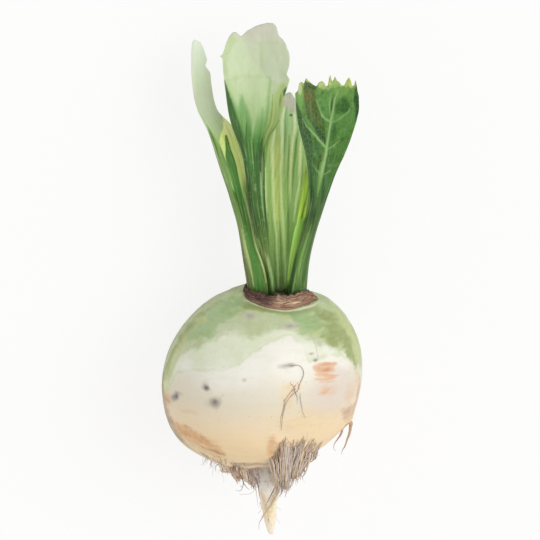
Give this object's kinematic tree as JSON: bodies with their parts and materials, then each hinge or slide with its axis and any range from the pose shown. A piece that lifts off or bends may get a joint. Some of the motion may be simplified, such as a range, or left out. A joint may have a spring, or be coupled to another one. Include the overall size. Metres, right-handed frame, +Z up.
{
  "type": "white beet",
  "caption": "Pale beet lying on its side: round swollen root with a tap root and fine rootlets, a dry collar at the crown and a tuft of trimmed green leaves.",
  "frame": {"origin": "on the surface that the beet lies on, in the middle of the flat spot of the root that rests there", "axes": "+Y along the beet from the tap root to the leaves, +X its right-hand side, +Z up from the surface"},
  "size_m": [0.0917, 0.2404, 0.0892],
  "materials": {
    "root_skin": "satin",
    "collar": "matte",
    "pale_leaf": "satin",
    "left_leaf": "satin",
    "ribbed_leaf": "satin",
    "dark_leaf": "satin",
    "lime_leaf": "satin",
    "rootlet": "matte"
  },
  "bodies": {
    "root": {"root": "root_skin", "crown_collar": "collar", "leaf_front": "pale_leaf", "leaf_left": "left_leaf", "leaf_back": "ribbed_leaf", "leaf_right": "dark_leaf", "leaf_inner": "lime_leaf", "side_root_top": "rootlet", "side_root_top_fork": "rootlet", "side_root_right": "rootlet", "side_root_right_fork": "rootlet", "tap_root_branch": "rootlet", "tap_root_hair": "rootlet", "rootlet_right_upper_01": "rootlet", "rootlet_right_upper_02": "rootlet", "rootlet_right_upper_03": "rootlet", "rootlet_right_upper_04": "rootlet", "rootlet_right_upper_05": "rootlet", "rootlet_right_upper_06": "rootlet", "rootlet_right_upper_07": "rootlet", "rootlet_right_lower_01": "rootlet", "rootlet_right_lower_02": "rootlet", "rootlet_right_lower_03": "rootlet", "rootlet_right_lower_04": "rootlet", "rootlet_right_lower_05": "rootlet", "rootlet_right_lower_06": "rootlet", "rootlet_left_01": "rootlet", "rootlet_left_02": "rootlet", "rootlet_left_03": "rootlet", "rootlet_left_04": "rootlet", "rootlet_left_05": "rootlet", "rootlet_left_06": "rootlet", "rootlet_left_07": "rootlet"}
  },
  "joints": []
}
